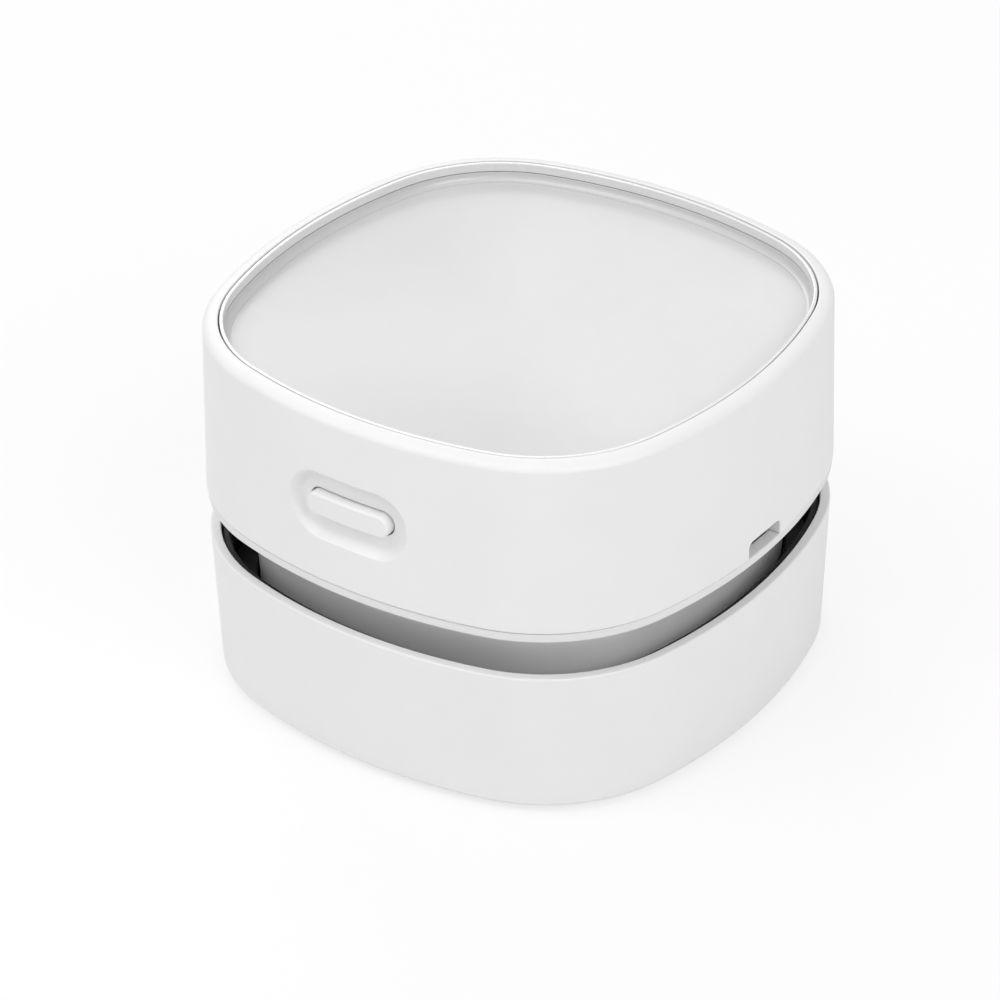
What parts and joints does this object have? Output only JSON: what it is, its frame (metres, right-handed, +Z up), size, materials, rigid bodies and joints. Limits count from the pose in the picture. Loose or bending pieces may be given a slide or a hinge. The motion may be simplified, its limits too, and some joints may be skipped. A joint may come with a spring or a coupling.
{
  "type": "desktop mini vacuum cleaner",
  "caption": "Rounded square table-top vacuum: a dust unit with brush strips and cup, and a lift-off main unit with motor, fan, filter, side power button and dished top tray.",
  "frame": {"origin": "on the table, under the middle of the body", "axes": "+Z up, -Y through the power button, +X through the charging port"},
  "size_m": [0.0853, 0.0854, 0.0584],
  "materials": {
    "shell_white": "white moulded plastic with a fine satin spark texture",
    "tray_white": "off-white moulded plastic, smooth satin",
    "trim_white": "bright white moulded plastic, smooth",
    "neck_grey": "light grey moulded plastic, satin",
    "cup_black": "black moulded plastic, fine matte texture",
    "rubber_black": "black rubber",
    "plate_grey": "mid grey moulded plastic",
    "bristle_grey": "dark grey nylon bristles",
    "foam_black": "black open-cell foam",
    "fan_grey": "pale blue-grey moulded plastic",
    "steel": "plated steel",
    "board_green": "green solder mask",
    "chip_black": "black moulded plastic",
    "cell_blue": "blue heat-shrink sleeve over the cell's can",
    "wire_red": "red wire insulation"
  },
  "bodies": {
    "dust_unit": {"lower_shell": "shell_white", "dust_cup": "cup_black", "dust_cup_collar": "cup_black", "neck_seal": "rubber_black", "suction_nozzle": "cup_black", "brush_plate": "plate_grey", "base_screw_back_right": "steel", "base_screw_back_left": "steel", "base_screw_front_left": "steel", "base_screw_front_right": "steel", "foot_back_right": "rubber_black", "foot_back_left": "rubber_black", "foot_front_left": "rubber_black", "foot_front_right": "rubber_black", "brush_strip_right": "bristle_grey", "brush_strip_back": "bristle_grey", "brush_strip_left": "bristle_grey", "brush_strip_front": "bristle_grey"},
    "main_unit": {"upper_shell": "shell_white", "top_tray": "tray_white", "tray_trim_ring": "trim_white", "neck_chassis": "neck_grey", "motor_mount": "plate_grey", "fan_shroud": "plate_grey", "filter_frame": "plate_grey", "filter_foam": "foam_black", "housing_screw_back_right": "steel", "housing_screw_back_left": "steel", "housing_screw_front_left": "steel", "housing_screw_front_right": "steel", "mount_screw_front": "steel", "mount_screw_back": "steel", "motor_screw_left": "steel", "motor_screw_right": "steel", "motor_can": "steel", "charge_socket": "steel", "control_board": "board_green", "switch_board": "board_green", "motor_end_cap": "chip_black", "socket_insert": "chip_black", "power_switch": "chip_black", "battery_holder": "chip_black", "battery_cell": "cell_blue", "motor_leads": "wire_red", "battery_leads": "wire_red", "switch_leads": "wire_red"},
    "power_button": {"power_button": "shell_white", "switch_plunger": "trim_white"},
    "fan": {"fan_impeller": "fan_grey", "motor_shaft": "steel"}
  },
  "joints": [
    {"name": "unit_lift", "type": "slide", "parent": "dust_unit", "child": "main_unit", "axis": [0, 0, 1], "range_m": [0, 0.03]},
    {"name": "button_press", "type": "slide", "parent": "main_unit", "child": "power_button", "axis": [0, 1, 0], "range_m": [0, 0.0008], "stiffness_N_per_m": 1500},
    {"name": "fan_spin", "type": "hinge", "parent": "main_unit", "child": "fan", "pos_m": [0, 0, 0.027], "axis": [0, 0, 1], "continuous": true}
  ]
}
